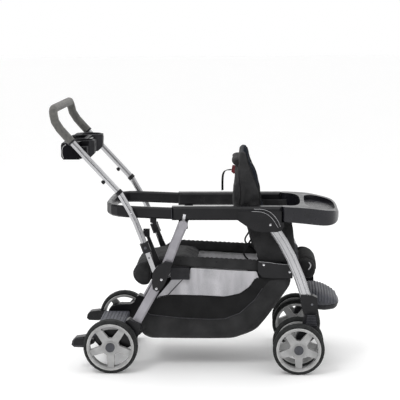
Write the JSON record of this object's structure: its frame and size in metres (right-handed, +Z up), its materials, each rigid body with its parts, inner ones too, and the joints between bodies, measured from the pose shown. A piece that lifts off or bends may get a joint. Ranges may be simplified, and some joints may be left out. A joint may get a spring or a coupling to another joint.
{
  "type": "sit and stand stroller",
  "caption": "Folding tandem stroller: reclining front seat with tray, rear bench with grab bar, standing platform, basket, organizer, twin front casters.",
  "frame": {"origin": "on the floor under the middle of the stroller's length and width", "axes": "+X to the front, +Y to the riders' left, +Z up"},
  "size_m": [1.0974, 0.5506, 1.0252],
  "materials": {
    "satin_aluminium": "satin anodised tube",
    "grey_tube": "silver-grey paint",
    "black_plastic": "satin moulded",
    "matte_plastic": "fine grain",
    "grey_plastic": "ribbed, matte",
    "rim_plastic": "silver-grey moulded",
    "tyre_foam": "foam tyre, matte",
    "grip_foam": "soft foam",
    "fabric": "woven polyester",
    "red_plastic": "dark red moulded",
    "axle_steel": "dark steel"
  },
  "bodies": {
    "front_frame": {"armrest_right": "black_plastic", "armrest_left": "black_plastic", "rear_grab_bar": "black_plastic", "front_leg_right": "satin_aluminium", "front_leg_left": "satin_aluminium", "leg_socket_right": "black_plastic", "leg_socket_left": "black_plastic", "front_cross_tube": "satin_aluminium", "footrest": "grey_plastic", "seat_rail_right": "fabric", "seat_rail_left": "fabric", "seat_plate_right": "black_plastic", "seat_plate_left": "black_plastic", "bench_pan": "black_plastic", "bench_cushion": "fabric", "bench_post_right": "black_plastic", "bench_post_left": "black_plastic", "basket": "fabric", "front_seat": "fabric", "calf_roll": "fabric", "harness_buckle": "black_plastic"},
    "tray": {"child_tray": "black_plastic"},
    "reclining_back": {"seat_back": "fabric", "recline_tab": "red_plastic", "recline_strap": "fabric", "shoulder_pad_right": "fabric", "shoulder_pad_left": "fabric"},
    "rear_legs": {"rear_leg_right": "grey_tube", "rear_leg_left": "grey_tube", "leg_bracket_right": "black_plastic", "leg_bracket_left": "black_plastic", "lock_bar_right": "satin_aluminium", "lock_bar_left": "satin_aluminium", "axle_housing_right": "black_plastic", "axle_housing_left": "black_plastic", "rear_axle": "axle_steel", "standing_platform": "grey_plastic"},
    "handle": {"handle_tube": "satin_aluminium", "handle_grip": "grip_foam", "parent_organizer": "black_plastic"},
    "latch_sleeve_right": {"latch_right": "black_plastic"},
    "pedal_right": {"brake_pedal_right": "black_plastic"},
    "rear_wheel_right": {"rear_rim_right": "rim_plastic", "rear_tyre_right": "tyre_foam"},
    "caster_right": {"caster_fork_right": "matte_plastic", "front_axle_right": "axle_steel"},
    "front_wheel_inner_right": {"front_rim_inner_right": "rim_plastic", "front_tyre_inner_right": "tyre_foam"},
    "front_wheel_outer_right": {"front_rim_outer_right": "rim_plastic", "front_tyre_outer_right": "tyre_foam"},
    "latch_sleeve_left": {"latch_left": "black_plastic"},
    "pedal_left": {"brake_pedal_left": "black_plastic"},
    "rear_wheel_left": {"rear_rim_left": "rim_plastic", "rear_tyre_left": "tyre_foam"},
    "caster_left": {"caster_fork_left": "matte_plastic", "front_axle_left": "axle_steel"},
    "front_wheel_inner_left": {"front_rim_inner_left": "rim_plastic", "front_tyre_inner_left": "tyre_foam"},
    "front_wheel_outer_left": {"front_rim_outer_left": "rim_plastic", "front_tyre_outer_left": "tyre_foam"}
  },
  "joints": [
    {"name": "handle_fold", "type": "hinge", "parent": "front_frame", "child": "handle", "pos_m": [-0.24513, 0, 0.61618], "axis": [0, 1, 0], "range_deg": [0, 62]},
    {"name": "rear_leg_fold", "type": "hinge", "parent": "front_frame", "child": "rear_legs", "pos_m": [-0.04913, 0, 0.5657], "axis": [0, -1, 0], "range_deg": [0, 50]},
    {"name": "seat_recline", "type": "hinge", "parent": "front_frame", "child": "reclining_back", "pos_m": [0.23387, 0, 0.43], "axis": [0, -1, 0], "range_deg": [0, 30]},
    {"name": "tray_slide", "type": "slide", "parent": "front_frame", "child": "tray", "axis": [1, 0, 0], "range_m": [0, 0.1]},
    {"name": "latch_slide_right", "type": "slide", "parent": "handle", "child": "latch_sleeve_right", "axis": [-0.3316, 0, 0.9434], "range_m": [0, 0.015], "stiffness_N_per_m": 200},
    {"name": "brake_press_right", "type": "hinge", "parent": "rear_legs", "child": "pedal_right", "pos_m": [-0.40113, 0, 0.116], "axis": [0, -1, 0], "range_deg": [0, 20]},
    {"name": "rear_wheel_spin_right", "type": "hinge", "parent": "rear_legs", "child": "rear_wheel_right", "pos_m": [-0.32813, -0.245, 0.104], "axis": [0, 1, 0], "continuous": true},
    {"name": "caster_swivel_right", "type": "hinge", "parent": "front_frame", "child": "caster_right", "pos_m": [0.43387, -0.2, 0.098], "axis": [0, 0, 1], "continuous": true},
    {"name": "front_wheel_spin_inner_right", "type": "hinge", "parent": "caster_right", "child": "front_wheel_inner_right", "pos_m": [0.38887, -0.147, 0.098], "axis": [0, 1, 0], "continuous": true},
    {"name": "front_wheel_spin_outer_right", "type": "hinge", "parent": "caster_right", "child": "front_wheel_outer_right", "pos_m": [0.38887, -0.253, 0.098], "axis": [0, 1, 0], "continuous": true},
    {"name": "latch_slide_left", "type": "slide", "parent": "handle", "child": "latch_sleeve_left", "axis": [-0.3316, 0, 0.9434], "range_m": [0, 0.015], "stiffness_N_per_m": 200},
    {"name": "brake_press_left", "type": "hinge", "parent": "rear_legs", "child": "pedal_left", "pos_m": [-0.40113, 0, 0.116], "axis": [0, -1, 0], "range_deg": [0, 20]},
    {"name": "rear_wheel_spin_left", "type": "hinge", "parent": "rear_legs", "child": "rear_wheel_left", "pos_m": [-0.32813, 0.245, 0.104], "axis": [0, 1, 0], "continuous": true},
    {"name": "caster_swivel_left", "type": "hinge", "parent": "front_frame", "child": "caster_left", "pos_m": [0.43387, 0.2, 0.098], "axis": [0, 0, 1], "continuous": true},
    {"name": "front_wheel_spin_inner_left", "type": "hinge", "parent": "caster_left", "child": "front_wheel_inner_left", "pos_m": [0.38887, 0.147, 0.098], "axis": [0, 1, 0], "continuous": true},
    {"name": "front_wheel_spin_outer_left", "type": "hinge", "parent": "caster_left", "child": "front_wheel_outer_left", "pos_m": [0.38887, 0.253, 0.098], "axis": [0, 1, 0], "continuous": true}
  ],
  "couplings": [
    {"joint": "rear_leg_fold", "follows": "handle_fold", "ratio": 0.8064}
  ]
}
